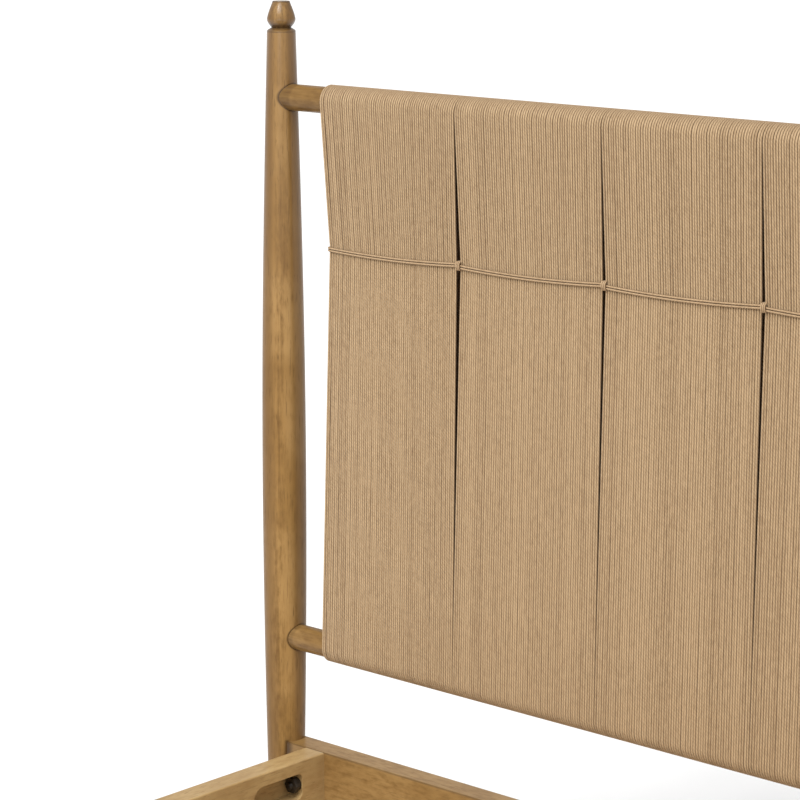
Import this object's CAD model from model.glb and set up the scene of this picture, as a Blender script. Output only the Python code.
"""Looks of a rope bed: turned posts, a headboard wound with paper cord, bolted rails and slats.

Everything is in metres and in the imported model's frame: +Z is up, +Y towards the head, and the
origin lies on the floor under the middle of the bed. A span is a pair of values: something fades
in from the first, where it is 0, to the second, where it is 1.
"""

from __future__ import annotations

import logging
import math
import random
from dataclasses import dataclass
from enum import Enum

import bmesh
import bpy
from mathutils import Matrix, Vector

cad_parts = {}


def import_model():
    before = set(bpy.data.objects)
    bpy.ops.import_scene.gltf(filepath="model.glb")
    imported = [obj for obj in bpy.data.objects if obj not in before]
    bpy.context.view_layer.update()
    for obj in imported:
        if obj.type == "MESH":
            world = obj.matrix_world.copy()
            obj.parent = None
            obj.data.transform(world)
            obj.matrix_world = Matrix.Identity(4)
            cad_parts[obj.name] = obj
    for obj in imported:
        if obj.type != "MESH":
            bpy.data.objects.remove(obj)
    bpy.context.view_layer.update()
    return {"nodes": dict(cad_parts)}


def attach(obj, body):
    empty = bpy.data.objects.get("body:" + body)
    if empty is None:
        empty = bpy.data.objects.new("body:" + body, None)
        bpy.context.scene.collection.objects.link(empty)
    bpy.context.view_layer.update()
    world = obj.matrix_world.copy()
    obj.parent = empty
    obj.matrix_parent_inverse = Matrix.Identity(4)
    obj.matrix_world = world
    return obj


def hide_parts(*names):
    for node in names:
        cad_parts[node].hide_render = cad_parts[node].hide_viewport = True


log = logging.getLogger("rope_bed")

Colour = tuple[float, float, float]
Point = tuple[float, float, float]
Span = tuple[float, float]
Outline = list[tuple[float, float]]

MM = 0.001
QUARTER_TURN = math.pi / 2
EASED_ANGLE = math.radians(35)
ALL_SMOOTH = math.pi
SAME_PLACE = 0.005 * MM
FRAME_BODY = "frame"
CORD_UV = "cord_run"
CORD_TONE = "cord_tone"
X_AXIS = Vector((1, 0, 0))
Z_AXIS = Vector((0, 0, 1))


class Grain(Enum):
    """The axis that the wood's fibres run along."""

    ACROSS = "X"
    LENGTHWISE = "Y"
    UPRIGHT = "Z"

    def scale(self, stretch: float) -> Point:
        """A pattern's scale along each axis, with the stretch along the fibres."""
        return tuple(stretch if axis is self else 1.0 for axis in Grain)


class Side(Enum):
    """The bed's left and right sides, as the sign of X."""

    LEFT = -1
    RIGHT = 1


class End(Enum):
    """The bed's head and foot ends, as the sign of Y."""

    HEAD = 1
    FOOT = -1


# --- The bed's driving dimensions ---


@dataclass(frozen=True)
class BedPlan:
    """Places that several sub-assemblies share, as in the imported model.

    Heights are above the floor, and every length is in metres.
    """

    post_x: float = 857.5 * MM
    head_y: float = 1043.9 * MM
    foot_y: float = -1047.1 * MM
    head_post_h: float = 1315 * MM
    foot_post_h: float = 430 * MM
    post_pad_t: float = 4 * MM
    top_dowel_z: float = 1195 * MM
    bottom_dowel_z: float = 494 * MM
    dowel_r: float = 16.8 * MM
    panel_w: float = 1547 * MM
    bundle_count: int = 7
    tie_z: float = 1012 * MM
    pinch_half: float = 9 * MM
    cord_d: float = 3.2 * MM
    rail_top_z: float = 355 * MM
    rail_h: float = 140 * MM
    end_rail_t: float = 34 * MM
    bolt_x: float = 783.3 * MM
    bolt_z: float = 321.5 * MM
    rail_face_head_y: float = 1026.9 * MM
    rail_face_foot_y: float = -1030.1 * MM

    @property
    def bundle_w(self) -> float:
        """Width of one bundle of cord."""
        return self.panel_w / self.bundle_count

    @property
    def panel_x(self) -> float:
        """The panel's left edge."""
        return -self.panel_w / 2

    @property
    def rail_bottom_z(self) -> float:
        """Height of the rails' lower edge."""
        return self.rail_top_z - self.rail_h

    def joint_y(self, end: End) -> float:
        """Where the side rails meet the rail at that end.

        Args:
            end: The bed's head or foot.

        Returns:
            The Y of the joint's face.
        """
        return self.rail_face_head_y if end is End.HEAD else self.rail_face_foot_y


PLAN = BedPlan()


# --- Shader expressions ---


class Signal:
    """A shader socket on which Python's operators add Math nodes."""

    def __init__(self, sheet: NodeSheet, socket: bpy.types.NodeSocket) -> None:
        """Wraps a socket of that sheet's tree."""
        self.sheet = sheet
        self.socket = socket

    def _math(self, operation: str, *values: Signal | float) -> Signal:
        """Adds a Math node.

        Args:
            operation: The node's operation.
            values: Its inputs, in order.

        Returns:
            The node's value.
        """
        return self.sheet.node("ShaderNodeMath", {"operation": operation}, dict(enumerate(values)))

    def __add__(self, other: Signal | float) -> Signal:
        """Sum."""
        return self._math("ADD", self, other)

    __radd__ = __add__

    def __sub__(self, other: Signal | float) -> Signal:
        """Difference."""
        return self._math("SUBTRACT", self, other)

    def __rsub__(self, other: float) -> Signal:
        """Difference from a number."""
        return self._math("SUBTRACT", other, self)

    def __mul__(self, other: Signal | float) -> Signal:
        """Product."""
        return self._math("MULTIPLY", self, other)

    __rmul__ = __mul__

    def __truediv__(self, other: Signal | float) -> Signal:
        """Quotient."""
        return self._math("DIVIDE", self, other)

    def __pow__(self, other: float) -> Signal:
        """Power."""
        return self._math("POWER", self, other)

    def __abs__(self) -> Signal:
        """Distance from zero."""
        return self._math("ABSOLUTE", self)

    def root(self) -> Signal:
        """Square root."""
        return self._math("SQRT", self)

    def sine(self) -> Signal:
        """Sine of an angle in radians."""
        return self._math("SINE", self)

    def larger(self, other: Signal | float) -> Signal:
        """The larger of two values."""
        return self._math("MAXIMUM", self, other)

    def smaller(self, other: Signal | float) -> Signal:
        """The smaller of two values."""
        return self._math("MINIMUM", self, other)

    def smooth(self, low: float, high: float) -> Signal:
        """Eases from one value to another.

        Args:
            low: Where the result is 0.
            high: Where the result is 1.

        Returns:
            A value from 0 to 1.
        """
        rising = low < high
        settings = {"interpolation_type": "SMOOTHSTEP"}
        inputs = {
            "Value": self,
            "From Min": low if rising else high,
            "From Max": high if rising else low,
            "To Min": 0.0 if rising else 1.0,
            "To Max": 1.0 if rising else 0.0,
        }
        return self.sheet.node("ShaderNodeMapRange", settings, inputs)

    def line(self, at: float, fade: Span) -> Signal:
        """A line where this is near a value, faded in over that span of distances from it."""
        return abs(self - at).smooth(*fade)


class NodeSheet:
    """One material's node tree, with the ways that the finishes add to it."""

    def __init__(self, name: str) -> None:
        """Starts an empty material.

        Args:
            name: The material's name.
        """
        self.material = bpy.data.materials.new(name)
        self.material.use_nodes = True
        self.tree = self.material.node_tree
        self.tree.nodes.clear()

    @staticmethod
    def _socket(sockets: bpy.types.bpy_prop_collection, key: str | int) -> bpy.types.NodeSocket:
        """Finds a socket by place, identifier or name.

        Args:
            sockets: A node's inputs or outputs.
            key: Which one.

        Returns:
            The socket.
        """
        if isinstance(key, int):
            return sockets[key]
        return next((s for s in sockets if s.identifier == key), None) or sockets[key]

    def node(
        self,
        kind: str,
        settings: dict[str, object] | None = None,
        inputs: dict[str | int, object] | None = None,
        output: str | int = 0,
    ) -> Signal:
        """Adds a node.

        Args:
            kind: The node's type.
            settings: Its properties, and "stops" for a ramp's (place, colour) pairs.
            inputs: Values or signals for its sockets.
            output: The socket that is wanted from it.

        Returns:
            That output.
        """
        made = self.tree.nodes.new(kind)
        for name, value in (settings or {}).items():
            if name == "stops":
                elements = made.color_ramp.elements
                while len(elements) < len(value):
                    elements.new(1.0)
                for element, (place, colour) in zip(elements, value, strict=True):
                    element.position = place
                    element.color = (*colour, 1.0)
            else:
                setattr(made, name, value)
        for key, value in (inputs or {}).items():
            socket = self._socket(made.inputs, key)
            if isinstance(value, Signal):
                self.tree.links.new(value.socket, socket)
            else:
                socket.default_value = value
        return Signal(self, self._socket(made.outputs, output))

    def place(self) -> Signal:
        """The point's place in the object's own coordinates."""
        return self.node("ShaderNodeTexCoord", output="Object")

    def axes(self, vector: Signal) -> tuple[Signal, Signal, Signal]:
        """Splits a vector.

        Args:
            vector: The vector.

        Returns:
            Its X, Y and Z.
        """
        split = self.node("ShaderNodeSeparateXYZ", inputs={0: vector})
        outputs = split.socket.node.outputs
        return tuple(Signal(self, outputs[axis]) for axis in range(3))

    def stretched(self, vector: Signal, scale: Point) -> Signal:
        """Scales a vector along each axis."""
        return self.node("ShaderNodeMapping", inputs={"Vector": vector, "Scale": scale})

    def noise(
        self, vector: Signal, scale: float, detail: float = 3.0, rough: float = 0.55
    ) -> Signal:
        """Smooth noise.

        Args:
            vector: Where it is read.
            scale: Its features per metre.
            detail: Its octaves.
            rough: How much the finer octaves weigh.

        Returns:
            A value around 0.5.
        """
        inputs = {"Vector": vector, "Scale": scale, "Detail": detail, "Roughness": rough}
        return self.node("ShaderNodeTexNoise", inputs=inputs, output="Fac")

    def mix(self, amount: Signal | float, low: Signal | Colour, high: Signal | Colour) -> Signal:
        """Mixes two colours.

        Args:
            amount: 0 for the first colour and 1 for the second.
            low: The first colour.
            high: The second colour.

        Returns:
            The mixed colour.
        """
        inputs = {
            "Factor_Float": amount,
            "A_Color": low if isinstance(low, Signal) else (*low, 1.0),
            "B_Color": high if isinstance(high, Signal) else (*high, 1.0),
        }
        return self.node("ShaderNodeMix", {"data_type": "RGBA"}, inputs, "Result_Color")

    def bump(self, height: Signal, depth: float, strength: float = 1.0) -> Signal:
        """Turns a height into a bumped normal.

        Args:
            height: From 0 to 1.
            depth: How deep that is, in metres.
            strength: How strongly it shows.

        Returns:
            The normal.
        """
        inputs = {"Height": height, "Distance": depth, "Strength": strength}
        return self.node("ShaderNodeBump", inputs=inputs)

    def finish(self, **sockets: object) -> bpy.types.Material:
        """Adds the surface shader and the output.

        Args:
            sockets: Values and signals for the shader's sockets, with _ for a space.

        Returns:
            The material.
        """
        inputs = {name.replace("_", " "): value for name, value in sockets.items()}
        surface = self.node("ShaderNodeBsdfPrincipled", inputs=inputs)
        output = self.tree.nodes.new("ShaderNodeOutputMaterial")
        self.tree.links.new(surface.socket, output.inputs["Surface"])
        return self.material


# --- Finishes ---


class PostPoint:
    """Where a shaded point of the oak lies, counted from the post at its own corner of the bed."""

    def __init__(self, sheet: NodeSheet, place: Signal, plan: BedPlan) -> None:
        """Adds the nodes that work it out.

        Args:
            sheet: The material's nodes.
            place: The point's place.
            plan: The bed's dimensions.
        """
        x, y, self.z = sheet.axes(place)
        is_right = x.smooth(-1 * MM, 1 * MM)
        self.is_head = y.smooth(-10 * MM, 10 * MM)
        top = self.is_head * (plan.head_post_h - plan.foot_post_h) + plan.foot_post_h
        self.depth = top - self.z
        self.out = abs(x)
        self.off_x = x - (is_right * (2 * plan.post_x) - plan.post_x)
        self.off_y = y - (self.is_head * (plan.head_y - plan.foot_y) + plan.foot_y)


@dataclass(frozen=True)
class BandedStain:
    """Stain that is deeper in bands up a post's sides, on its finial and towards its top.

    Bands are shares of the post's radius, counted sideways as the photograph sees it, and depths
    lie below the post's top.
    """

    share: float = 0.65
    limit: float = 1.4
    sideways_x: float = 0.76
    sideways_y: float = 0.65
    wander: float = 8 * MM
    top_r: float = 18 * MM
    swell: float = 10 * MM
    swell_depth: Span = (0.0, 550 * MM)
    away_band: Span = (0.30, 0.66)
    near_band: Span = (-0.22, -0.66)
    near_share: float = 1.1
    finial_depth: Span = (34 * MM, 30 * MM)
    finial_base: float = 0.05
    acorn_depth: Span = (7 * MM, 26 * MM)
    acorn_share: float = 0.4
    flank_band: Span = (0.45, 0.85)
    flank_share: float = 0.6
    upper_depth: Span = (420 * MM, 100 * MM)
    upper_base: float = 0.25
    streak_band: Span = (0.58, 0.44)
    streak_share: float = 0.45

    def amount(self, point: PostPoint, broad: Signal) -> Signal:
        """How much of the stain shows.

        Args:
            point: Where the shaded point lies.
            broad: Noise that makes the bands' edges wander.

        Returns:
            A value from 0 to 1.
        """
        radius = point.depth.smooth(*self.swell_depth) * self.swell + self.top_r
        sideways = point.off_x * self.sideways_x + point.off_y * self.sideways_y
        across = (sideways + (broad - 0.5) * self.wander) / radius
        bands = across.smooth(*self.away_band).larger(
            across.smooth(*self.near_band) * self.near_share
        )
        acorn = point.depth.smooth(*self.acorn_depth) * self.acorn_share
        flanks = abs(across).smooth(*self.flank_band) * self.flank_share
        finial = point.depth.smooth(*self.finial_depth) * (acorn + flanks + self.finial_base)
        streaks = broad.smooth(*self.streak_band) * self.streak_share
        upper = point.depth.smooth(*self.upper_depth) * (streaks + self.upper_base)
        return (bands + finial + upper).smaller(self.limit) * self.share


@dataclass(frozen=True)
class CreaseGlaze:
    """Dark glaze left in a post's turned grooves and round its joints.

    A fade is a span of distances from a crease, over which its line sets in.
    """

    colour: Colour = (0.060, 0.030, 0.011)
    most: float = 0.9
    post_reach: Span = (36 * MM, 26 * MM)
    groove_depth: float = 32 * MM
    groove_fade: Span = (7.5 * MM, 0.6 * MM)
    shoulder_depth: float = 38 * MM
    shoulder_fade: Span = (1.6 * MM, 0.2 * MM)
    shoulder_share: float = 0.6
    rim_fade: Span = (2.8 * MM, 0.8 * MM)
    rim_share: float = 0.85
    acorn_depth: Span = (34 * MM, 22 * MM)
    acorn_streaks: Span = (0.54, 0.42)
    acorn_share: float = 0.4
    acorn_base: float = 0.05
    dowel_fade: Span = (2.6 * MM, 0.3 * MM)
    dowel_inset: float = 12 * MM
    rail_fade: Span = (3.2 * MM, 0.4 * MM)
    rail_margin: float = 4 * MM
    rail_inset: Span = (8 * MM, 16 * MM)
    edge_fade_z: Span = (2.6 * MM, 0.3 * MM)
    edge_fade_y: Span = (2.2 * MM, 0.3 * MM)
    edge_share: float = 0.8
    worn_streaks: Span = (0.25, 0.6)
    worn_share: float = 0.35
    worn_base: float = 0.6

    def _turned(self, point: PostPoint, streak: Signal) -> Signal:
        """Glaze in the finial's grooves and edges.

        Args:
            point: Where the shaded point lies.
            streak: Noise that breaks the glaze up.

        Returns:
            A value from 0 to 1.
        """
        depth = point.depth
        groove = depth.line(self.groove_depth, self.groove_fade)
        shoulder = depth.line(self.shoulder_depth, self.shoulder_fade) * self.shoulder_share
        rim = depth.smooth(*self.rim_fade) * self.rim_share
        streaks = streak.smooth(*self.acorn_streaks) * self.acorn_share + self.acorn_base
        acorn = depth.smooth(*self.acorn_depth) * streaks
        return groove.larger(shoulder).larger(rim).larger(acorn)

    def amount(self, point: PostPoint, streak: Signal, plan: BedPlan) -> Signal:
        """How much of the glaze shows.

        Args:
            point: Where the shaded point lies.
            streak: Noise that breaks the glaze up.
            plan: The bed's dimensions.

        Returns:
            A value from 0 to 1.
        """
        off_y, z = point.off_y, point.z
        creases = self._turned(point, streak)
        at_post = (point.off_x * point.off_x + off_y * off_y).root().smooth(*self.post_reach)
        inward = point.out.smooth(plan.post_x, plan.post_x - self.dowel_inset) * point.is_head
        for height in (plan.top_dowel_z, plan.bottom_dowel_z):
            rise = z - height
            ring = (off_y * off_y + rise * rise).root().line(plan.dowel_r, self.dowel_fade)
            creases = creases.larger(ring * inward)
        half_rail = plan.end_rail_t / 2
        inner = point.out.smooth(*(plan.post_x - inset for inset in self.rail_inset))
        beside_rail = z.smooth(plan.rail_top_z + self.rail_margin, plan.rail_top_z) * z.smooth(
            plan.rail_bottom_z - self.rail_margin, plan.rail_bottom_z
        )
        joint = abs(off_y).line(half_rail, self.rail_fade) * beside_rail * inner
        edge_z = z.line(plan.rail_top_z, self.edge_fade_z)
        edge = edge_z * abs(off_y).line(half_rail, self.edge_fade_y) * inner * self.edge_share
        worn = streak.smooth(*self.worn_streaks) * self.worn_share + self.worn_base
        lines = (creases.larger(joint) * at_post).larger(edge)
        return (lines * worn).smaller(self.most)


@dataclass(frozen=True)
class PostCoat:
    """Polish that is thicker towards the posts' tops. Depths lie below these."""

    finial: float = 0.35
    finial_depth: Span = (140 * MM, 30 * MM)
    shaft: float = 0.25
    shaft_depth: Span = (500 * MM, 220 * MM)

    def amount(self, point: PostPoint) -> Signal:
        """The coat's weight there."""
        shaft = point.depth.smooth(*self.shaft_depth) * self.shaft
        return point.depth.smooth(*self.finial_depth) * self.finial + shaft


@dataclass(frozen=True)
class OakFinish:
    """Satin, honey-brown oak. Its patterns' scales are features per metre."""

    name: str
    grain: Grain
    light: Colour = (0.385, 0.230, 0.085)
    middle: Colour = (0.290, 0.162, 0.051)
    dark: Colour = (0.165, 0.086, 0.027)
    pore: Colour = (0.070, 0.035, 0.013)
    mottle: float = 0.25
    lift: float = 0.0
    coat: float = 0.06
    post_coat: PostCoat | None = None
    stain: BandedStain | None = None
    glaze: CreaseGlaze = CreaseGlaze()
    roughness: float = 0.42
    specular: float = 0.14
    coat_roughness: float = 0.15
    relief: float = 0.12 * MM
    stretch: float = 0.045
    broad_scale: float = 38.0
    streak_scale: float = 210.0
    hair_scale: float = 900.0
    patch_scale: float = 150.0
    cloud_scale: float = 9.0
    pore_scale: float = 620.0
    fleck_scale: float = 520.0
    streak_shares: Point = (0.45, 0.40, 0.15)
    tone_span: Span = (0.42, 0.57)
    mottled_shift: tuple[float, float] = (-0.16, 0.12)
    light_span: Span = (0.38, 0.66)
    pore_span: Span = (0.60, 0.70)
    pore_rows: Span = (0.36, 0.62)
    fleck_span: Span = (0.64, 0.74)
    fleck_share: float = 0.7
    pore_share: float = 0.62
    pore_loss: float = 0.5
    short_grain: float = 0.7
    patch_grain: float = 0.3
    tone_gloss: float = 0.08
    pore_roughness: float = 0.2
    groove_shares: Point = (0.5, 0.5, 0.6)
    relief_strength: float = 0.55

    def material(self, plan: BedPlan) -> bpy.types.Material:
        """Builds the material.

        Args:
            plan: The bed's dimensions, which place the stain and the glaze.

        Returns:
            The material.
        """
        sheet = NodeSheet(self.name)
        place = sheet.place()
        point = PostPoint(sheet, place, plan)
        fibres, short_fibres, patches = (
            sheet.stretched(place, self.grain.scale(self.stretch**power))
            for power in (1.0, self.short_grain, self.patch_grain)
        )
        broad = sheet.noise(fibres, self.broad_scale)
        streak = sheet.noise(fibres, self.streak_scale, detail=5.0, rough=0.62)
        hair = sheet.noise(fibres, self.hair_scale, detail=2.0)
        patch = sheet.noise(patches, self.patch_scale)
        cloud = sheet.noise(place, self.cloud_scale, detail=2.0)
        pores = sheet.noise(fibres, self.pore_scale, detail=2.0, rough=0.6)
        pores = pores.smooth(*self.pore_span) * broad.smooth(*self.pore_rows)
        flecks = sheet.noise(short_fibres, self.fleck_scale, detail=2.0)
        pores = pores.larger(flecks.smooth(*self.fleck_span) * self.fleck_share)
        broad_share, streak_share, hair_share = self.streak_shares
        streaks = broad * broad_share + streak * streak_share + hair * hair_share
        blend = streaks * (1 - self.mottle) + patch * self.mottle + self.lift
        ends = zip(self.tone_span, self.mottled_shift, strict=True)
        tone = blend.smooth(*(end + self.mottle * shift for end, shift in ends))
        colour = sheet.mix(tone, self.dark, self.middle)
        colour = sheet.mix(cloud.smooth(*self.light_span) * tone, colour, self.light)
        if self.stain:
            colour = sheet.mix(self.stain.amount(point, broad), colour, self.dark)
        pore_share = self.pore_share - self.mottle * self.pore_loss
        colour = sheet.mix(pores * pore_share, colour, self.pore)
        colour = sheet.mix(self.glaze.amount(point, streak, plan), colour, self.glaze.colour)
        hair_depth, streak_depth, pore_depth = self.groove_shares
        grooves = hair * hair_depth + streak * streak_depth - pores * pore_depth
        polish = self.roughness - tone * self.tone_gloss
        return sheet.finish(
            Base_Color=colour,
            Roughness=pores * self.pore_roughness + polish,
            Coat_Weight=self.post_coat.amount(point) + self.coat if self.post_coat else self.coat,
            Coat_Roughness=self.coat_roughness,
            Specular_IOR_Level=self.specular,
            Normal=sheet.bump(grooves, self.relief, self.relief_strength),
        )


@dataclass(frozen=True)
class SlatFinish:
    """Planed, unfinished pale softwood, with the lines of its latewood."""

    name: str
    grain: Grain
    light: Colour = (0.62, 0.47, 0.29)
    dark: Colour = (0.44, 0.29, 0.14)
    stretch: float = 0.04
    rings_through: float = 900.0
    rings_across: float = 420.0
    ring_warp: float = 16.0
    warp_scale: float = 14.0
    fine_scale: float = 700.0
    board_scale: float = 3.0
    latewood_span: Span = (0.35, 0.95)
    board_span: Span = (0.4, 0.7)
    dark_shares: Point = (0.55, 0.25, 0.25)
    roughness: float = 0.58
    fine_roughness: float = 0.15
    relief_shares: tuple[float, float] = (0.6, 0.4)
    relief: float = 0.1 * MM
    relief_strength: float = 0.6

    def material(self) -> bpy.types.Material:
        """Builds the material.

        Returns:
            The material.
        """
        sheet = NodeSheet(self.name)
        place = sheet.place()
        fibres = sheet.stretched(place, self.grain.scale(self.stretch))
        x, y, z = sheet.axes(fibres)
        sideways = y if self.grain is Grain.ACROSS else x
        warp = sheet.noise(fibres, self.warp_scale, detail=2.0) * self.ring_warp
        ring = (z * self.rings_through + sideways * self.rings_across + warp).sine()
        latewood = ring.smooth(*self.latewood_span)
        fine = sheet.noise(fibres, self.fine_scale)
        board = sheet.noise(place, self.board_scale, detail=0.0).smooth(*self.board_span)
        ring_share, fine_share, board_share = self.dark_shares
        colour = sheet.mix(latewood * ring_share + fine * fine_share, self.light, self.dark)
        colour = sheet.mix(board * board_share, colour, self.dark)
        relief = fine * self.relief_shares[0] - latewood * self.relief_shares[1]
        return sheet.finish(
            Base_Color=colour,
            Roughness=fine * self.fine_roughness + self.roughness,
            Normal=sheet.bump(relief, self.relief, self.relief_strength),
        )


@dataclass(frozen=True)
class PaperCordFinish:
    """Twisted kraft paper cord, read along the piece's own UV map in metres and turns.

    A turn's flanks face the next turns, its hollow side faces the panel's middle, and the crown
    is where the winding goes over the top dowel.
    """

    name: str
    light: Colour = (0.547, 0.390, 0.229)
    middle: Colour = (0.435, 0.300, 0.166)
    dark: Colour = (0.285, 0.185, 0.097)
    crease: Colour = (0.135, 0.075, 0.032)
    hollow: Colour = (0.120, 0.050, 0.010)
    flank_band: Span = (0.50, 0.96)
    flank_shade: float = 0.62
    upper_shade: float = 0.28
    upper_z: Span = (940 * MM, 1060 * MM)
    crown_z: Span = (1202 * MM, 1216 * MM)
    crown_shade: float = 0.55
    hollow_band: Span = (-0.15, 0.35)
    hollow_shade: float = 0.0
    lay_length: float = 13 * MM
    plies: int = 3
    phase_spread: float = 7.0
    ply_round: float = 0.6
    ply_shade: float = 0.4
    drift_grain: float = 0.08
    fleck_grain: float = 0.4
    drift_scale: float = 130.0
    fleck_scale: float = 330.0
    fibre_scale: float = 2600.0
    tone_share: float = 0.42
    drift_share: float = 0.12
    fleck_share: float = 0.45
    base_shade: float = 0.23
    middle_span: Span = (0.28, 0.72)
    light_span: Span = (0.2, 0.62)
    light_share: float = 0.62
    groove_span: Span = (0.55, 1.0)
    groove_share: float = 0.2
    roughness: float = 0.66
    fibre_roughness: float = 0.15
    specular: float = 0.3
    sheen: float = 0.12
    sheen_roughness: float = 0.5
    fibre_relief: float = 0.15
    relief: float = 0.3 * MM
    relief_strength: float = 0.55

    def material(self) -> bpy.types.Material:
        """Builds the material.

        Returns:
            The material.
        """
        sheet = NodeSheet(self.name)
        along, around, _ = sheet.axes(sheet.node("ShaderNodeUVMap", {"uv_map": CORD_UV}))
        tone = sheet.node("ShaderNodeAttribute", {"attribute_name": CORD_TONE}, output="Fac")
        twist = around * self.plies + along * (self.plies / self.lay_length)
        wave = ((twist + tone * self.phase_spread) * math.tau).sine()
        ply = (wave * 0.5 + 0.5) ** self.ply_round
        place = sheet.place()
        long_way = sheet.stretched(place, Grain.UPRIGHT.scale(self.drift_grain))
        short_way = sheet.stretched(place, Grain.UPRIGHT.scale(self.fleck_grain))
        drift = sheet.noise(long_way, self.drift_scale)
        fleck = sheet.noise(short_way, self.fleck_scale, detail=2.0)
        fibre = sheet.noise(place, self.fibre_scale, detail=2.0)
        cloudy = drift * self.drift_share + (fleck - 0.5) * self.fleck_share
        shade = tone * self.tone_share + cloudy + self.base_shade
        colour = sheet.mix(shade.smooth(*self.middle_span), self.dark, self.middle)
        lit = (ply * self.ply_shade + (1 - self.ply_shade)) * shade
        colour = sheet.mix(lit.smooth(*self.light_span) * self.light_share, colour, self.light)
        groove = (1 - ply).smooth(*self.groove_span) * self.groove_share
        colour = sheet.mix(groove, colour, self.dark)
        _, _, z = sheet.axes(place)
        shaded = z.smooth(*self.upper_z) * self.upper_shade + self.flank_shade
        flank = abs((around * math.tau).sine()).smooth(*self.flank_band)
        colour = sheet.mix(flank * shaded, colour, self.crease)
        if self.hollow_shade:
            colour = sheet.mix(z.smooth(*self.crown_z) * self.crown_shade, colour, self.dark)
            within = (around * math.tau + QUARTER_TURN).sine().smooth(*self.hollow_band)
            colour = sheet.mix(within * self.hollow_shade, colour, self.hollow)
        relief = ply * (1 - self.fibre_relief) + fibre * self.fibre_relief
        return sheet.finish(
            Base_Color=colour,
            Roughness=fibre * self.fibre_roughness + self.roughness,
            Specular_IOR_Level=self.specular,
            Sheen_Weight=self.sheen,
            Sheen_Roughness=self.sheen_roughness,
            Normal=sheet.bump(relief, self.relief, self.relief_strength),
        )


@dataclass(frozen=True)
class MetalFinish:
    """Plated or blackened steel, or a moulded foot where metallic is 0."""

    name: str
    colour: Colour
    worn: Colour
    metallic: float
    roughness: float
    shine: float = 0.5
    grit_scale: float = 600.0
    patch_scale: float = 70.0
    worn_span: Span = (0.42, 0.68)
    worn_share: float = 0.7
    grit_share: float = 0.2
    patch_roughness: float = 0.16
    grit_roughness: float = 0.1
    relief: float = 0.05 * MM
    relief_strength: float = 0.4

    def material(self) -> bpy.types.Material:
        """Builds the material.

        Returns:
            The material.
        """
        sheet = NodeSheet(self.name)
        place = sheet.place()
        grit = sheet.noise(place, self.grit_scale)
        patch = sheet.noise(place, self.patch_scale)
        wear = patch.smooth(*self.worn_span) * self.worn_share + grit * self.grit_share
        dull = patch * self.patch_roughness + grit * self.grit_roughness
        return sheet.finish(
            Base_Color=sheet.mix(wear, self.colour, self.worn),
            Metallic=self.metallic,
            Roughness=dull + self.roughness,
            Specular_IOR_Level=self.shine,
            Normal=sheet.bump(grit, self.relief, self.relief_strength),
        )


class Palette:
    """All the bed's materials, built once."""

    def __init__(self, plan: BedPlan) -> None:
        """Builds them.

        Args:
            plan: The bed's dimensions.
        """
        posts = OakFinish(
            "oak_upright", Grain.UPRIGHT, lift=0.03, post_coat=PostCoat(), stain=BandedStain()
        )
        end_rails = OakFinish(
            "oak_across",
            Grain.ACROSS,
            light=(0.345, 0.211, 0.080),
            middle=(0.277, 0.160, 0.054),
            dark=(0.200, 0.110, 0.036),
            coat=0.25,
            mottle=0.5,
        )
        dowels = OakFinish(
            "oak_dowel",
            Grain.ACROSS,
            light=(0.300, 0.178, 0.064),
            middle=(0.222, 0.123, 0.038),
            dark=(0.140, 0.072, 0.022),
            coat=0.15,
            mottle=0.3,
            glaze=CreaseGlaze(most=0.3),
        )
        side_rails = OakFinish(
            "oak_lengthwise",
            Grain.LENGTHWISE,
            light=(0.470, 0.325, 0.150),
            middle=(0.415, 0.275, 0.120),
            dark=(0.355, 0.226, 0.096),
            coat=0.12,
            mottle=0.5,
        )
        tie = PaperCordFinish(
            "paper_cord_tie",
            light=(0.54, 0.385, 0.235),
            middle=(0.45, 0.31, 0.175),
            dark=(0.30, 0.19, 0.095),
        )
        zinc = MetalFinish("zinc_steel", (0.60, 0.61, 0.63), (0.47, 0.48, 0.50), 1.0, 0.24)
        black = MetalFinish(
            "black_steel", (0.012, 0.009, 0.006), (0.030, 0.021, 0.013), 0.0, 0.34, shine=0.3
        )
        nylon = MetalFinish(
            "nylon", (0.70, 0.68, 0.63), (0.60, 0.58, 0.53), 0.0, 0.43, grit_scale=900.0
        )
        self.oak_upright = posts.material(plan)
        self.oak_across = end_rails.material(plan)
        self.oak_dowel = dowels.material(plan)
        self.oak_lengthwise = side_rails.material(plan)
        self.slat_across = SlatFinish("slat_across", Grain.ACROSS).material()
        self.slat_lengthwise = SlatFinish("slat_lengthwise", Grain.LENGTHWISE).material()
        self.cord = PaperCordFinish("paper_cord", hollow_shade=0.92).material()
        self.tie = tie.material()
        self.zinc = zinc.material()
        self.black = black.material()
        self.nylon = nylon.material()


# --- Mesh helpers ---


def to_piece(
    mesh_work: bmesh.types.BMesh,
    name: str,
    material: bpy.types.Material,
    replaced: tuple[str, ...],
    body: str = FRAME_BODY,
    smooth_angle: float = EASED_ANGLE,
) -> None:
    """Turns a finished bmesh into a piece that rides on a body.

    Args:
        mesh_work: The mesh, which is freed.
        name: The piece's name.
        material: Its material.
        replaced: The CAD nodes that it stands for.
        body: The body that carries it.
        smooth_angle: The angle between faces under which their edge shades smoothly.
    """
    for face in mesh_work.faces:
        face.smooth = True
    for edge in mesh_work.edges:
        edge.smooth = len(edge.link_faces) < 2 or edge.calc_face_angle(0.0) < smooth_angle
    mesh = bpy.data.meshes.new(name)
    mesh_work.to_mesh(mesh)
    mesh_work.free()
    mesh.materials.append(material)
    piece = bpy.data.objects.new(name, mesh)
    bpy.context.scene.collection.objects.link(piece)
    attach(piece, body)
    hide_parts(*replaced)
    log.info("%s: %d faces on %s", name, len(mesh.polygons), body)


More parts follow.
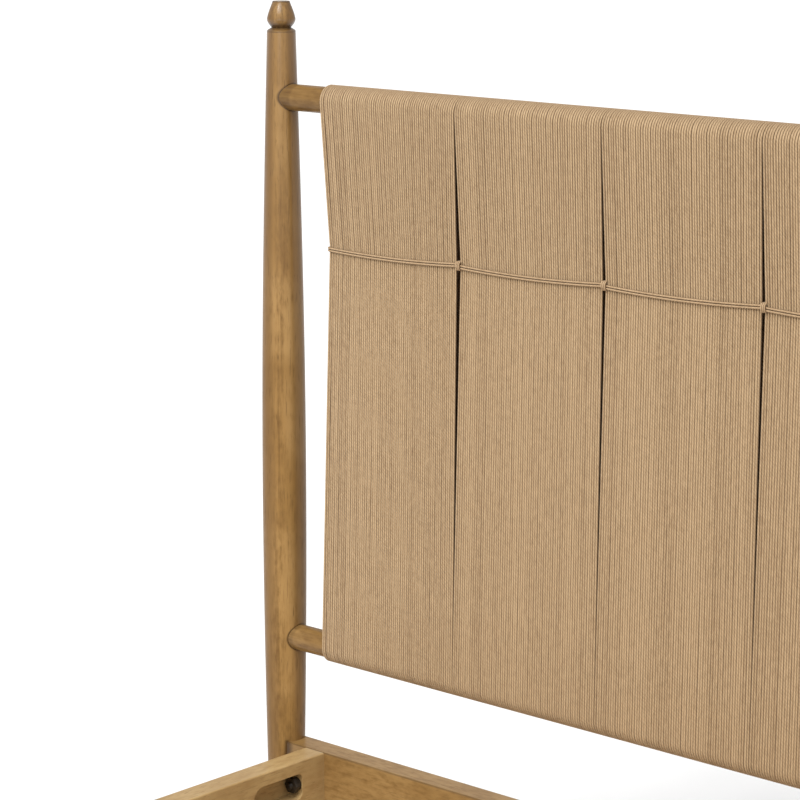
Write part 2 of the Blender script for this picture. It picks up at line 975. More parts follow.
def spun(outline: Outline, steps: int = 72) -> bmesh.types.BMesh:
    """Spins an outline of (radius, height) round Z into a closed solid.

    Args:
        outline: The outline, from one end of the axis to the other.
        steps: The facets round the axis.

    Returns:
        The turned solid.
    """
    work = bmesh.new()
    corners = [work.verts.new((radius, 0.0, height)) for radius, height in outline]
    edges = [work.edges.new(pair) for pair in zip(corners, corners[1:], strict=False)]
    bmesh.ops.spin(
        work,
        geom=corners + edges,
        cent=(0, 0, 0),
        axis=(0, 0, 1),
        angle=math.tau,
        steps=steps,
        use_merge=True,
    )
    bmesh.ops.remove_doubles(work, verts=work.verts, dist=SAME_PLACE)
    bmesh.ops.recalc_face_normals(work, faces=work.faces)
    return work


def placed(work: bmesh.types.BMesh, matrix: Matrix) -> bmesh.types.BMesh:
    """Moves a bmesh by a matrix, and returns it."""
    bmesh.ops.transform(work, matrix=matrix, verts=work.verts)
    return work


def joined(parts: list[bmesh.types.BMesh]) -> bmesh.types.BMesh:
    """Puts several bmeshes in one.

    Args:
        parts: The bmeshes, which are freed.

    Returns:
        One bmesh of them all.
    """
    whole = bmesh.new()
    for part in parts:
        held = bpy.data.meshes.new("held")
        part.to_mesh(held)
        part.free()
        whole.from_mesh(held)
        bpy.data.meshes.remove(held)
    return whole


# --- Turned posts and dowels ---


@dataclass
class TurnedPost:
    """A post with an acorn, a groove and a swelling shaft. Depths lie below its top."""

    plan: BedPlan
    end: End
    rim_r: float = 11.2 * MM
    rim_round: float = 1.5 * MM
    acorn_r: float = 18.1 * MM
    acorn_depth: float = 22.6 * MM
    acorn_fullness: float = 1.2
    neck_r: float = 12.2 * MM
    neck_depth: float = 33.2 * MM
    chamfer_w: float = 1.6 * MM
    chamfer_h: float = 2.6 * MM
    shoulder_r: float = 18.2 * MM
    shoulder_depth: float = 37.4 * MM
    head_swell: tuple[float, float] = (620 * MM, 28.2 * MM)
    foot_swell: tuple[float, float] = (150 * MM, 25 * MM)
    foot_r: float = 16.7 * MM
    rim_steps: int = 5
    acorn_steps: int = 18
    neck_steps: int = 14
    shaft_steps: int = 60

    @property
    def height(self) -> float:
        """The post's height."""
        return self.plan.head_post_h if self.end is End.HEAD else self.plan.foot_post_h

    @property
    def swell(self) -> tuple[float, float]:
        """Depth and radius of the shaft's thickest place."""
        return self.head_swell if self.end is End.HEAD else self.foot_swell

    @property
    def axis_y(self) -> float:
        """Where the post's axis stands along the bed."""
        return self.plan.head_y if self.end is End.HEAD else self.plan.foot_y

    def shaft_radius(self, depth: float) -> float:
        """Radius of the shaft.

        Args:
            depth: How far below the post's top.

        Returns:
            The radius there.
        """
        swell_depth, swell_r = self.swell
        if depth < swell_depth:
            share = (depth - self.shoulder_depth) / (swell_depth - self.shoulder_depth)
            return self.shoulder_r + (swell_r - self.shoulder_r) * math.sin(QUARTER_TURN * share)
        share = (depth - swell_depth) / (self.height - self.plan.post_pad_t - swell_depth)
        return self.foot_r + (swell_r - self.foot_r) * math.cos(QUARTER_TURN * share)

    def _finial(self) -> Outline:
        """The outline of the rounded rim, the acorn and the hollow neck.

        Returns:
            Points of (radius, depth).
        """
        points: Outline = []
        for step in range(self.rim_steps + 1):
            angle = QUARTER_TURN * step / self.rim_steps
            radius = self.rim_r - self.rim_round * (1 - math.sin(angle))
            points.append((radius, self.rim_round * (1 - math.cos(angle))))
        for step in range(1, self.acorn_steps + 1):
            share = step / self.acorn_steps
            swell = (share + math.sin(QUARTER_TURN * share) ** self.acorn_fullness) / 2
            radius = self.rim_r + (self.acorn_r - self.rim_r) * swell
            points.append((radius, self.rim_round + share * (self.acorn_depth - self.rim_round)))
        for step in range(1, self.neck_steps + 1):
            share = step / self.neck_steps
            radius = self.neck_r + (self.acorn_r - self.neck_r) * math.cos(QUARTER_TURN * share)
            depth = self.acorn_depth + share * (self.neck_depth - self.acorn_depth)
            points.append((radius, depth))
        return points

    def outline(self) -> Outline:
        """The whole post's outline.

        Returns:
            Points of (radius, height), from the top down.
        """
        points = [(0.0, 0.0), *self._finial()]
        points.append((self.shoulder_r - self.chamfer_w, self.neck_depth + self.chamfer_h))
        points.append((self.shoulder_r, self.shoulder_depth))
        bottom = self.height - self.plan.post_pad_t
        for step in range(1, self.shaft_steps + 1):
            share = step / self.shaft_steps
            depth = self.shoulder_depth + (bottom - self.shoulder_depth) * share
            points.append((self.shaft_radius(depth), depth))
        points.append((0.0, bottom))
        return [(radius, self.height - depth) for radius, depth in points]

    def build(self, material: bpy.types.Material) -> None:
        """Builds the posts at this end of the bed.

        Args:
            material: The oak.
        """
        for side in Side:
            name = f"{self.end.name.lower()}_post_{side.name.lower()}"
            work = spun(self.outline())
            place = Matrix.Translation((side.value * self.plan.post_x, self.axis_y, 0.0))
            to_piece(placed(work, place), f"turned_{name}", material, replaced=(name,))


@dataclass
class HeadboardDowels:
    """The two round dowels that carry the winding."""

    plan: BedPlan
    into_post: float = 12 * MM
    facets: int = 56

    def build(self, material: bpy.types.Material) -> None:
        """Builds both dowels.

        Args:
            material: The oak.
        """
        half = self.plan.post_x - self.into_post
        outline = [(0.0, -half), (self.plan.dowel_r, -half), (self.plan.dowel_r, half), (0.0, half)]
        heights = {"top": self.plan.top_dowel_z, "bottom": self.plan.bottom_dowel_z}
        for name, height in heights.items():
            turn = Matrix.Rotation(QUARTER_TURN, 4, "Y")
            place = Matrix.Translation((0.0, self.plan.head_y, height)) @ turn
            node = f"headboard_{name}_dowel"
            work = placed(spun(outline, self.facets), place)
            to_piece(work, f"turned_{name}_dowel", material, replaced=(node,))


# --- The winding ---


@dataclass
class CordLoop:
    """One turn of cord round both dowels, in the plane across the panel."""

    plan: BedPlan
    sides: int = 8
    roll_steps: int = 14
    run_steps: int = 5
    roll_gap: float = 0.15 * MM
    waist_ease: float = 5 * MM
    waist_out: float = 0.12 * MM

    @property
    def radius(self) -> float:
        """Radius at which the cord's middle goes round a dowel."""
        return self.plan.dowel_r + self.roll_gap + self.plan.cord_d / 2

    def _touch(self, dowel_z: float) -> float:
        """Angle at which the straight run to the waist leaves a dowel.

        Args:
            dowel_z: Height of the dowel's axis.

        Returns:
            The angle round the dowel, from the panel's outer side.
        """
        rise = self.plan.tie_z - dowel_z
        reach = math.hypot(self.plan.pinch_half, rise)
        turn = -1 if rise > 0 else 1
        return math.atan2(rise, self.plan.pinch_half) + turn * math.acos(self.radius / reach)

    def _roll(self, dowel_z: float, start: float, sweep: float) -> Outline:
        """Points round one dowel.

        Args:
            dowel_z: Height of the dowel's axis.
            start: The angle of the first point.
            sweep: The angle from the first point to the last.

        Returns:
            Points of (y, z).
        """
        angles = (start + sweep * step / self.roll_steps for step in range(self.roll_steps + 1))
        return [(self.radius * math.cos(a), dowel_z + self.radius * math.sin(a)) for a in angles]

    def _run(self, start: tuple[float, float], to: tuple[float, float]) -> Outline:
        """Points between two places, without either.

        Args:
            start: The first place.
            to: The second place.

        Returns:
            Points of (y, z).
        """
        shares = (step / self.run_steps for step in range(1, self.run_steps))
        (y, z), (to_y, to_z) = start, to
        return [(y + (to_y - y) * share, z + (to_z - z) * share) for share in shares]

    def _waist(self, side: int) -> Outline:
        """The eased bend under the tie.

        Args:
            side: 1 for the way up the panel's outer face and -1 for the way down its inner one.

        Returns:
            Points of (y, z).
        """
        y, z = side * self.plan.pinch_half, self.plan.tie_z
        eased_y, ease = y + side * self.waist_out, side * self.waist_ease
        return [(eased_y, z - ease), (y, z), (eased_y, z + ease)]

    def route(self) -> Outline:
        """The way of the cord's middle, once round.

        Returns:
            Points of (y, z), with y from the dowels' axes.
        """
        plan = self.plan
        high, low = self._touch(plan.top_dowel_z), self._touch(plan.bottom_dowel_z)
        over = self._roll(plan.top_dowel_z, high, math.pi - 2 * high)
        under = self._roll(plan.bottom_dowel_z, math.pi - low, math.pi + 2 * low)
        up, down = self._waist(1), self._waist(-1)
        points = over + self._run(over[-1], down[1]) + down
        points += self._run(down[-1], under[0]) + under
        return points + self._run(under[-1], up[1]) + up + self._run(up[-1], over[0])


@dataclass(frozen=True)
class CordSection:
    """A cord's section, out of which its plies stand and turn along its run."""

    radius: float
    sides: int = 12
    plies: int = 3
    groove: float = 0.13
    lay_length: float = 11 * MM

    def fitted_lay(self, length: float) -> float:
        """The lay length nearest its own that closes on a loop of that length."""
        return length / max(1, round(length / self.lay_length))

    def reach(self, angle: float) -> float:
        """The radius at an angle from the middle of a ply, which is less between two plies."""
        return self.radius * (1 - self.groove * (0.5 - 0.5 * math.cos(self.plies * angle)))


def swept_loop(
    route: list[Vector], section: CordSection, plane_normal: Vector
) -> bmesh.types.BMesh:
    """Sweeps a cord's section round a closed route, with its UV map in metres and turns.

    Args:
        route: Points of the cord's middle, the last of which leads back to the first.
        section: The cord's section.
        plane_normal: A direction that the route never runs along.

    Returns:
        The cord.
    """
    work = bmesh.new()
    uv = work.loops.layers.uv.new(CORD_UV)
    tone = work.verts.layers.float.new(CORD_TONE)
    sides = section.sides
    steps = list(zip(route, route[1:] + route[:1], strict=True))
    lay_length = section.fitted_lay(sum((after - point).length for point, after in steps))
    rings: list[list[bmesh.types.BMVert]] = []
    runs = [0.0]
    for index, (point, after) in enumerate(steps):
        ahead = (after - route[index - 1]).normalized()
        outward = plane_normal.cross(ahead).normalized()
        upward = ahead.cross(outward)
        turn = math.tau * runs[-1] / lay_length
        ring = bmesh.ops.create_circle(work, segments=sides, radius=1.0)["verts"]
        for corner, vert in enumerate(ring):
            angle = math.tau * corner / sides
            spoke = outward * math.cos(angle) + upward * math.sin(angle)
            vert.co = point + spoke * section.reach(angle - turn)
            vert[tone] = 0.5
        rings.append(ring)
        runs.append(runs[-1] + (after - point).length)
    for index, near in enumerate(rings):
        far = rings[(index + 1) % len(rings)]
        for corner in range(sides):
            following = (corner + 1) % sides
            face = work.faces.new((near[corner], near[following], far[following], far[corner]))
            start, end = runs[index], runs[index + 1]
            left, right = corner / sides, (corner + 1) / sides
            spots = ((start, left), (start, right), (end, right), (end, left))
            for loop, spot in zip(face.loops, spots, strict=True):
                loop[uv].uv = spot
    bmesh.ops.recalc_face_normals(work, faces=work.faces)
    return work


@dataclass
class CordBundle:
    """One of the panel's bundles: parallel turns of cord, with a slit to each next bundle."""

    plan: BedPlan
    number: int
    turns: int = 63
    gap: float = 0.3 * MM
    slit_w: float = 4.2 * MM
    first_slit_w: float = 6.4 * MM
    edge_draw: float = 8 * MM
    slit_close_z: float = 545 * MM
    press: float = 0.02
    stray: float = 0.26 * MM
    loose_turns: int = 26
    looseness: float = 1.5
    bends: float = 19.0
    tone_memory: float = 0.3
    tone_spread: float = 0.07
    seed: int = 4100

    def _half_slit(self, seam: int) -> float:
        """Half the opening of a seam at the tie.

        Args:
            seam: The seam's number, from the panel's left edge.

        Returns:
            The distance from the seam.
        """
        if seam in (0, self.plan.bundle_count):
            return self.edge_draw
        first = seam in (1, self.plan.bundle_count - 1)
        return (self.first_slit_w if first else self.slit_w) / 2

    def _draw(self, seam: int, height: float) -> float:
        """How far the cords stand back from a seam.

        Args:
            seam: The seam's number, from the panel's left edge.
            height: Height above the floor.

        Returns:
            The distance from the seam.
        """
        plan = self.plan
        top_z = plan.top_dowel_z + plan.dowel_r
        edge = seam in (0, plan.bundle_count)
        low_z = plan.bottom_dowel_z - plan.dowel_r if edge else self.slit_close_z
        span = top_z - plan.tie_z if height > plan.tie_z else plan.tie_z - low_z
        share = max(0.0, 1 - abs(height - plan.tie_z) / span)
        return self.gap / 2 + (self._half_slit(seam) - self.gap / 2) * share

    def _stray(self, turn: int) -> float:
        """How far a turn wanders, which is more by the panel's own edges.

        Args:
            turn: The turn's number in the bundle.

        Returns:
            The distance.
        """
        from_edge = {1: turn, self.plan.bundle_count: self.turns - 1 - turn}
        share = max(0.0, 1 - from_edge.get(self.number, self.turns) / self.loose_turns)
        return self.stray * (1 + self.looseness * share)

    def _row(self, turn: int, height: float) -> tuple[float, float]:
        """Where a turn lies in its row, and how much room it has there.

        Args:
            turn: The turn's number in the bundle.
            height: Height above the floor.

        Returns:
            The X of the cord's middle, and its width as a share of the cord's own.
        """
        plan = self.plan
        left = plan.panel_x + (self.number - 1) * plan.bundle_w
        low = left + self._draw(self.number - 1, height)
        high = left + plan.bundle_w - self._draw(self.number, height)
        pitch = (high - low - plan.cord_d) / (self.turns - 1)
        return low + plan.cord_d / 2 + pitch * turn, pitch / plan.cord_d + self.press

    def build(self, loop: CordLoop, material: bpy.types.Material) -> None:
        """Builds the bundle.

        Args:
            loop: The turn of cord that it repeats.
            material: The paper cord.
        """
        plan = self.plan
        chance = random.Random(self.seed + self.number)
        route = [Vector((0.0, y, z)) for y, z in loop.route()]
        section = CordSection(plan.cord_d / 2, sides=loop.sides, plies=0)
        master = swept_loop(route, section, X_AXIS)
        held = bpy.data.meshes.new("cord_turn")
        master.to_mesh(held)
        master.free()
        work = bmesh.new()
        per_turn = len(held.vertices)
        streak = 0.5
        for turn in range(self.turns):
            work.from_mesh(held)
            work.verts.ensure_lookup_table()
            tone = work.verts.layers.float[CORD_TONE]
            streak = 0.5 + self.tone_memory * (streak - 0.5) + chance.gauss(0.0, self.tone_spread)
            drift, phase = chance.uniform(-1, 1), chance.uniform(0, math.tau)
            stray = self._stray(turn)
            out = chance.uniform(-1, 1) * stray / 2
            inner = 0 < turn < self.turns - 1
            for vert in work.verts[turn * per_turn :]:
                x, y, z = vert.co
                row, room = self._row(turn, z)
                bend = stray * (drift + math.sin(z * self.bends + phase)) / 2
                vert.co.x = x * room + row + bend if inner else x + row
                straight = plan.bottom_dowel_z < z < plan.top_dowel_z
                vert.co.y = y + (math.copysign(out, y) if straight else 0.0) + plan.head_y
                vert[tone] = min(1.0, max(0.0, streak))
        bpy.data.meshes.remove(held)
        node = f"cord_bundle_{self.number}"
        name = f"wound_{node}"
        to_piece(work, name, material, replaced=(node,), smooth_angle=ALL_SMOOTH)


@dataclass
class WaistTie:
    """The doubled cord that runs round the panel and draws its two layers together."""

    plan: BedPlan
    cord_r: float = 1.4 * MM
    level_gap: float = 0.15 * MM
    sag: float = 3.5 * MM
    corner_r: float = 4 * MM
    edge_draw: float = 8 * MM
    edge_gap: float = 0.4 * MM
    face_gap: float = 0.25 * MM
    step: float = 2.2 * MM
    corner_steps: int = 6
    side_steps: int = 7
    knot_draw: float = 0.1 * MM
    knot_step: float = 0.9 * MM
    knot_reach: float = 9 * MM

    @property
    def face_y(self) -> float:
        """How far the tie lies from the panel's middle plane."""
        return self.plan.pinch_half + self.plan.cord_d / 2 + self.face_gap + self.cord_r

    @property
    def run_x(self) -> float:
        """Half the length of the tie's straight run."""
        edge = self.plan.panel_w / 2 - self.edge_draw + self.edge_gap + self.cord_r
        return edge - self.corner_r

    def height(self, x: float) -> float:
        """Height of the tie's middle, which sags between two knots and steps at each.

        Args:
            x: A place across the bed.

        Returns:
            The height there.
        """
        share = ((x - self.plan.panel_x) / self.plan.bundle_w) % 1.0
        sagged = 4 * self.sag * share * (1 - share)
        return self.plan.tie_z - sagged - self.knot_step * (1 - 2 * share)

    def _spread(self, x: float, level: int) -> float:
        """How far one strand lies above or below the tie's middle, which is less at a knot.

        Args:
            x: A place across the bed.
            level: 1 for the upper strand and -1 for the lower.

        Returns:
            The rise from the middle.
        """
        seam = round((x - self.plan.panel_x) / self.plan.bundle_w)
        inner = 0 < seam < self.plan.bundle_count
        from_knot = abs(x - (self.plan.panel_x + seam * self.plan.bundle_w))
        drawn = max(0.0, 1 - from_knot / self.knot_reach) if inner else 0.0
        return level * (self.cord_r + self.level_gap - self.knot_draw * drawn)

    def _edge_turn(self, sign: int, z: float) -> list[Vector]:
        """The turn round one of the panel's free edges.

        Args:
            sign: 1 for the right edge and -1 for the left.
            z: The strand's height there.

        Returns:
            Its points.
        """
        reach = self.face_y - self.corner_r
        angles = [QUARTER_TURN * step / self.corner_steps for step in range(1, self.corner_steps)]
        shares = [step / self.side_steps for step in range(self.side_steps + 1)]
        spots = [(-reach - self.corner_r * math.cos(a), math.sin(a)) for a in angles]
        spots += [(reach * (2 * share - 1), 1.0) for share in shares]
        spots += [(reach + self.corner_r * math.sin(a), math.cos(a)) for a in angles]
        head_y = self.plan.head_y
        return [
            Vector((sign * (self.run_x + self.corner_r * out), head_y + sign * y, z))
            for y, out in spots
        ]

    def route(self, level: int) -> list[Vector]:
        """Points of one strand, once round the panel.

        Args:
            level: 1 for the upper strand and -1 for the lower.

        Returns:
            The points.
        """
        count = round(2 * self.run_x / self.step)
        points: list[Vector] = []
        for sign in (1, -1):
            for index in range(count + 1):
                x = sign * self.run_x * (2 * index / count - 1)
                z = self.height(x) + self._spread(x, level)
                points.append(Vector((x, self.plan.head_y - sign * self.face_y, z)))
            points += self._edge_turn(sign, points[-1].z)
        return points

    def build(self, material: bpy.types.Material) -> None:
        """Builds both strands.

        Args:
            material: The tie's paper cord.
        """
        for level, node in ((1, "tie_cord_upper"), (-1, "tie_cord_lower")):
            work = swept_loop(self.route(level), CordSection(self.cord_r), Z_AXIS)
            name = f"twisted_{node}"
            to_piece(work, name, material, replaced=(node,), smooth_angle=ALL_SMOOTH)


@dataclass
class SlitLashings:
    """The knots at the slits: turns of cord through each slit and round both faces' tie."""

    plan: BedPlan
    tie: WaistTie
    cord_r: float = 1.2 * MM
    reach: float = 4.6 * MM
    cap: float = 2.9 * MM
    face_x: float = 2.35 * MM
    shift: float = 2.5 * MM
    slit_x: float = 0.35 * MM
    slit_y: float = 10.4 * MM
    fan_y: float = 2.32 * MM
    lean: float = 0.2 * MM
    cap_steps: int = 16
    run_steps: int = 9

    def _profile(self) -> Outline:
        """The way of one turn, seen from the side.

        Returns:
            Points of (y, z) from the knot's middle.
        """
        profile: Outline = []
        for sign in (-1, 1):
            for step in range(self.cap_steps + 1):
                angle = math.pi * step / self.cap_steps
                y = sign * (self.tie.face_y + self.cap * math.sin(angle))
                profile.append((y, -sign * self.reach * math.cos(angle)))
            for step in range(1, self.run_steps):
                y = sign * self.tie.face_y * (1 - 2 * step / self.run_steps)
                profile.append((y, sign * self.reach))
        return profile

    def _turn(self, centre: Vector, side: int) -> bmesh.types.BMesh:
        """One closed turn, which spreads from its neighbours outside the slit.

        Args:
            centre: The middle of the slit at the tie.
            side: -1 for the left turn, 0 for the middle one and 1 for the right.

        Returns:
            The turn.
        """
        route = []
        for y, z in self._profile():
            share = min(1.0, max(0.0, (abs(y) - self.slit_y) / self.fan_y))
            share *= share * (3 - 2 * share)
            x = side * (self.slit_x + (self.face_x - self.slit_x) * share) + self.shift * share
            x += self.lean * share * math.copysign(1.0, y) * z / self.reach
            route.append(centre + Vector((x, y, z)))
        return swept_loop(route, CordSection(self.cord_r), X_AXIS)

    def build(self, material: bpy.types.Material) -> None:
        """Builds every knot as one piece.

        Args:
            material: The tie's paper cord.
        """
        turns = []
        for seam in range(1, self.plan.bundle_count):
            x = self.plan.panel_x + seam * self.plan.bundle_w
            middle = Vector((x, self.plan.head_y, self.plan.tie_z))
            turns += [self._turn(middle, side) for side in (-1, 0, 1)]
        work, nodes = joined(turns), ("tie_knots",)
        to_piece(
            work, "slit_lashings", material, replaced=nodes, smooth_angle=ALL_SMOOTH
        )


# --- Rail bolts ---


@dataclass(frozen=True)
class Thread:
    """Turned grooves that stand for the thread of a stem along Z."""

    radius: float
    depth: float
    pitch: float
    crest: float = 1.0

    def outline(self, start: float, length: float) -> Outline:
        """The grooves' outline.

        Args:
            start: Where the first groove starts.
            length: The length that they take up at most.

        Returns:
            Points of (radius, height).
        """
        points: Outline = []
        for index in range(int(length / self.pitch)):
            z = start + index * self.pitch
            points.append((self.radius - self.depth, z + self.crest / 2 * self.pitch))
            points.append((self.radius, z + self.crest * self.pitch))
        return points


@dataclass
class RailBolts:
    """Studs, washers and chamfered nuts in the side rails' pockets.

    Heights run along the bolt, from the joint into the side rail.
    """

    plan: BedPlan
    thread: Thread = Thread(4.95 * MM, 0.8 * MM, 1.5 * MM, crest=0.9)
    stud_from: float = -23 * MM
    stud_to: float = 56.4 * MM
    tip_h: float = 0.5 * MM
    tip_insets: tuple[float, float] = (1 * MM, 2 * MM)
    threaded_from: float = 32.4 * MM
    thread_end: float = 1.2 * MM
    washer_at: float = 40.4 * MM
    washer_t: float = 3 * MM
    washer_r: float = 9 * MM
    washer_edge: float = 0.35 * MM
    hole_r: float = 5.3 * MM
    nut_h: float = 8 * MM
    nut_r: float = 11 * MM
    nut_chamfer: float = 0.9 * MM
    stud_facets: int = 32
    washer_facets: int = 40
    nut_sides: int = 6

    def _stud(self) -> bmesh.types.BMesh:
        """A stud along Z whose outer end is threaded.

        Returns:
            The stud.
        """
        radius, start, end = self.thread.radius, self.threaded_from, self.stud_to
        outline = [(0.0, self.stud_from), (radius, self.stud_from), (radius, start)]
        outline += self.thread.outline(start, end - start - self.thread_end)
        outline += [(radius - self.tip_insets[0], end - self.tip_h)]
        outline += [(radius - self.tip_insets[1], end), (0.0, end)]
        return spun(outline, self.stud_facets)

    def _washer(self) -> bmesh.types.BMesh:
        """A flat washer along Z with an eased edge.

        Returns:
            The washer.
        """
        low, high, edge = self.washer_at, self.washer_at + self.washer_t, self.washer_edge
        inner, outer = self.hole_r, self.washer_r
        outline = [(inner, low), (outer, low), (outer, high - edge), (outer - edge, high)]
        return spun([*outline, (inner, high), (inner, low)], self.washer_facets)

    def _nut(self) -> bmesh.types.BMesh:
        """A hexagon nut along Z, chamfered at both faces.

        Returns:
            The nut.
        """
        radius, height, sides = self.nut_r, self.nut_h, self.nut_sides
        work = bmesh.new()
        bmesh.ops.create_cone(
            work, cap_ends=True, segments=sides, radius1=radius, radius2=radius, depth=height
        )
        middle = self.washer_at + self.washer_t + height / 2
        flat_up = Matrix.Rotation(math.pi / sides, 4, "Z")
        placed(work, Matrix.Translation((0, 0, middle)) @ flat_up)
        ends = ((edge, *(vert.co.z for vert in edge.verts)) for edge in work.edges)
        rims = [edge for edge, low, high in ends if abs(high - low) < height / 2]
        bmesh.ops.bevel(
            work,
            geom=rims,
            offset=self.nut_chamfer,
            affect="EDGES",
            segments=2,
            profile=0.5,
            material=-1,
        )
        return work

    def build(self, material: bpy.types.Material) -> None:
        """Builds the hardware in all four corners.

        Args:
            material: The blackened steel.
        """
        makers = {"rail_studs": self._stud, "rail_washers": self._washer, "rail_nuts": self._nut}
        for node, maker in makers.items():
            parts = []
            for side in Side:
                for end in End:
                    out = Matrix.Rotation(end.value * QUARTER_TURN, 4, "X")
                    joint_y = self.plan.joint_y(end)
                    spot = (side.value * self.plan.bolt_x, joint_y, self.plan.bolt_z)
                    parts.append(placed(maker(), Matrix.Translation(spot) @ out))
            to_piece(joined(parts), f"detailed_{node}", material, replaced=(node,))


# --- Legs and glides ---


@dataclass
class CentreLegs:
    """Three turned legs under the beam, each with a levelling glide that screws out."""

    plan: BedPlan
    count: int = 3
    middle_y: float = -1.6 * MM
    pitch: float = 620 * MM
    foot_z: float = 6.4 * MM
    top_z: float = 192 * MM
    foot_r: float = 16 * MM
    top_r: float = 19.5 * MM
    ease: float = 1.5 * MM
    insert_r: float = 6 * MM
    insert_h: float = 16 * MM
    bore_r: float = 4.55 * MM
    bore_z: float = 44 * MM
    disc_r: float = 15 * MM
    disc_insets: tuple[tuple[float, float], ...] = (
        (1 * MM, 0.0),
        (0.0, 1 * MM),
        (0.6 * MM, 3.6 * MM),
        (2.6 * MM, 6 * MM),
    )
    thread: Thread = Thread(3.95 * MM, 0.6 * MM, 1.25 * MM)
    stem_top: float = 40 * MM
    stem_tip: float = 1 * MM
    tip_inset: float = 0.8 * MM
    leg_facets: int = 56
    glide_facets: int = 32

    def _leg(self) -> bmesh.types.BMesh:
        """A tapered leg with an eased foot and a blind bore for the glide.

        Returns:
            The leg.
        """
        start, insert_z = self.foot_z + self.ease, self.foot_z + self.insert_h
        outline = [(0.0, self.top_z), (self.top_r, self.top_z), (self.foot_r, start)]
        outline += [(self.foot_r - self.ease, self.foot_z), (self.insert_r, self.foot_z)]
        outline += [(self.insert_r, insert_z), (self.bore_r, insert_z)]
        outline += [(self.bore_r, self.bore_z), (0.0, self.bore_z)]
        return spun(outline, self.leg_facets)

    def _glide(self) -> bmesh.types.BMesh:
        """A domed disc on a threaded stem.

        Returns:
            The glide.
        """
        radius, disc_h = self.thread.radius, self.disc_insets[-1][1]
        outline = [(0.0, 0.0)] + [(self.disc_r - inset, z) for inset, z in self.disc_insets]
        outline.append((radius, disc_h))
        outline += self.thread.outline(disc_h, self.stem_top - disc_h - self.stem_tip)
        outline += [(radius - self.tip_inset, self.stem_top), (0.0, self.stem_top)]
        return spun(outline, self.glide_facets)

    def build(self, oak: bpy.types.Material, nylon: bpy.types.Material) -> None:
        """Builds the legs on the frame and each glide on its own body.

        Args:
            oak: The legs' material.
            nylon: The glides' material.
        """
        for number in range(1, self.count + 1):
            from_middle = (number - (self.count + 1) / 2) * self.pitch
            place = Matrix.Translation((0.0, self.middle_y + from_middle, 0.0))
            leg, glide = f"centre_leg_{number}", f"leg_glide_{number}"
            body = f"glide_{number}"
            to_piece(placed(self._leg(), place), f"turned_{leg}", oak, replaced=(leg,))
            work = placed(self._glide(), place)
            to_piece(work, f"domed_{glide}", nylon, replaced=(glide,), body=body)


# --- Carried-over CAD nodes ---


@dataclass
class CarriedNodes:
    """The nodes whose shape is right as packed, which only take a finish."""

    nodes: dict[str, bpy.types.Object]
    palette: Palette

    def _finish_of(self, name: str) -> bpy.types.Material:
        """The material of the node of that name.

        Args:
            name: The node's name.

        Returns:
            Its material.
        """
        palette = self.palette
        screws = ("slat_screws", "ledger_screws", "bracket_screws")
        starts = {
            palette.oak_across: ("head_rail", "foot_rail"),
            palette.oak_lengthwise: ("side_rail", "locating_dowels"),
            palette.slat_lengthwise: ("slat_ledger", "centre_beam"),
            palette.zinc: (*screws, "beam_brackets", "leg_bolts", "leg_inserts", "rail_inserts"),
            palette.slat_across: ("slat_",),
            palette.nylon: ("post_glides", "leg_glide"),
            palette.black: ("rail_",),
            palette.tie: ("tie_",),
            palette.cord: ("cord_bundle",),
        }
        found = (finish for finish, start in starts.items() if name.startswith(start))
        return next(found, palette.oak_upright)

    def dress(self) -> None:
        """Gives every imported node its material."""
        for name, node in self.nodes.items():
            material = self._finish_of(name)
            node.data.materials.clear()
            node.data.materials.append(material)
            log.info("%s takes %s", name, material.name)


# --- Studio ---


@dataclass(frozen=True)
class SoftSun:
    """A distant lamp, turned to the camera's left, with the size of a softbox in the sky."""

    name: str
    energy: float
    turn: float
    height: float
    spread: float

    def build(self, azimuth: float) -> None:
        """Adds the lamp.

        Args:
            azimuth: The camera's azimuth, from which the turn is taken.
        """
        data = bpy.data.lights.new(self.name, "SUN")
        data.energy = self.energy
        data.angle = self.spread
        lamp = bpy.data.objects.new(self.name, data)
        lamp.rotation_euler = (QUARTER_TURN - self.height, 0.0, azimuth - self.turn)
        bpy.context.scene.collection.objects.link(lamp)


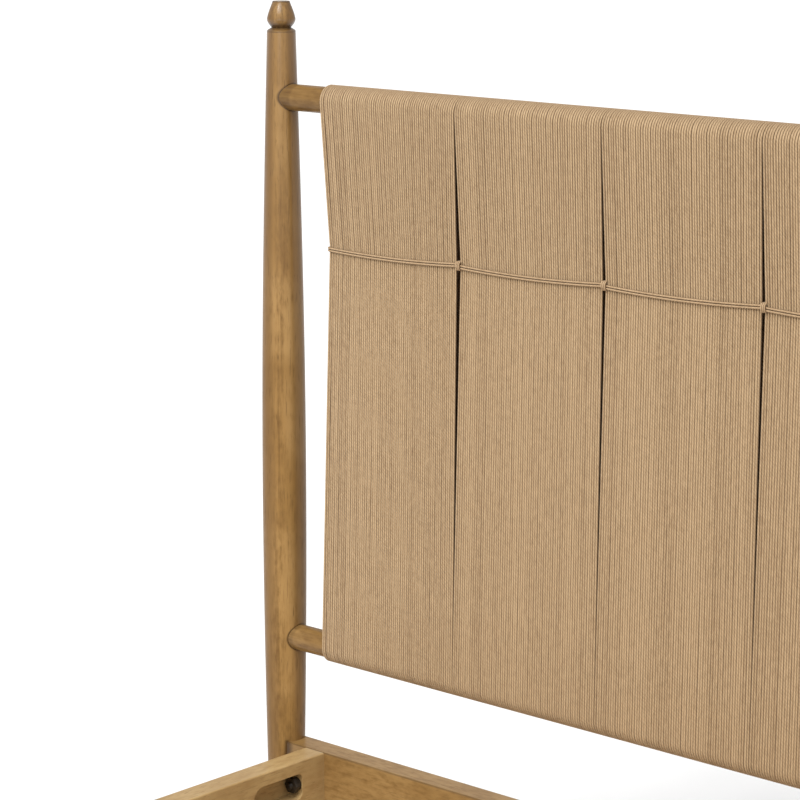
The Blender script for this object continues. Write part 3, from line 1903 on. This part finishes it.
@dataclass
class Studio:
    """A pale floor, plain soft light and a camera at the photograph's angle."""

    camera_at: Point = (1.624702, -1.471369, 1.529750)
    azimuth: float = math.radians(42.202)
    pitch: float = math.radians(9.670)
    lens: float = 126.16
    sensor: float = 36.0
    shift_y: float = -0.119
    clip_end: float = 180.0
    floor_r: float = 60.0
    floor_sides: int = 96
    floor_colour: Colour = (0.86, 0.86, 0.86)
    floor_roughness: float = 0.9
    sky: float = 0.62
    suns: tuple[SoftSun, ...] = (
        SoftSun("soft_key", 2.20, math.radians(20), math.radians(54), math.radians(44)),
        SoftSun("low_card", 0.40, math.radians(14), math.radians(2), math.radians(28)),
        SoftSun("strip_light", 0.9, math.radians(34), math.radians(44), math.radians(9)),
    )

    def camera(self) -> None:
        """Places the camera, with its frame shifted down a little as in the photograph."""
        data = bpy.data.cameras.new("photo_camera")
        data.sensor_width = self.sensor
        data.lens = self.lens
        data.shift_y = self.shift_y
        data.clip_end = self.clip_end
        camera = bpy.data.objects.new("photo_camera", data)
        camera.location = self.camera_at
        camera.rotation_euler = (QUARTER_TURN - self.pitch, 0.0, self.azimuth)
        bpy.context.scene.collection.objects.link(camera)
        bpy.context.scene.camera = camera

    def floor(self) -> None:
        """Lays the floor."""
        work = bmesh.new()
        sides, radius = self.floor_sides, self.floor_r
        bmesh.ops.create_circle(work, cap_ends=True, segments=sides, radius=radius)
        mesh = bpy.data.meshes.new("floor")
        work.to_mesh(mesh)
        work.free()
        colour = (*self.floor_colour, 1.0)
        sheet = NodeSheet("pale_floor")
        mesh.materials.append(sheet.finish(Base_Color=colour, Roughness=self.floor_roughness))
        floor = bpy.data.objects.new("floor", mesh)
        bpy.context.scene.collection.objects.link(floor)

    def light(self) -> None:
        """Sets the sky and the soft lights from the camera's left."""
        world = bpy.data.worlds.new("studio_sky")
        world.use_nodes = True
        background = world.node_tree.nodes["Background"]
        background.inputs["Color"].default_value = (1.0, 1.0, 1.0, 1.0)
        background.inputs["Strength"].default_value = self.sky
        bpy.context.scene.world = world
        bpy.context.scene.view_settings.view_transform = "Standard"
        for sun in self.suns:
            sun.build(self.azimuth)

    def build(self) -> None:
        """Sets up the whole studio."""
        self.camera()
        self.floor()
        self.light()


def main() -> None:
    """Builds the bed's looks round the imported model."""
    logging.basicConfig(level=logging.INFO, format="%(message)s")
    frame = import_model()
    Studio().build()
    palette = Palette(PLAN)
    CarriedNodes(frame["nodes"], palette).dress()
    for end in End:
        TurnedPost(PLAN, end).build(palette.oak_upright)
    HeadboardDowels(PLAN).build(palette.oak_dowel)
    loop = CordLoop(PLAN)
    for number in range(1, PLAN.bundle_count + 1):
        CordBundle(PLAN, number).build(loop, palette.cord)
    tie = WaistTie(PLAN)
    tie.build(palette.tie)
    SlitLashings(PLAN, tie).build(palette.tie)
    RailBolts(PLAN).build(palette.black)
    CentreLegs(PLAN).build(palette.oak_upright, palette.nylon)


if __name__ == "__main__":
    main()
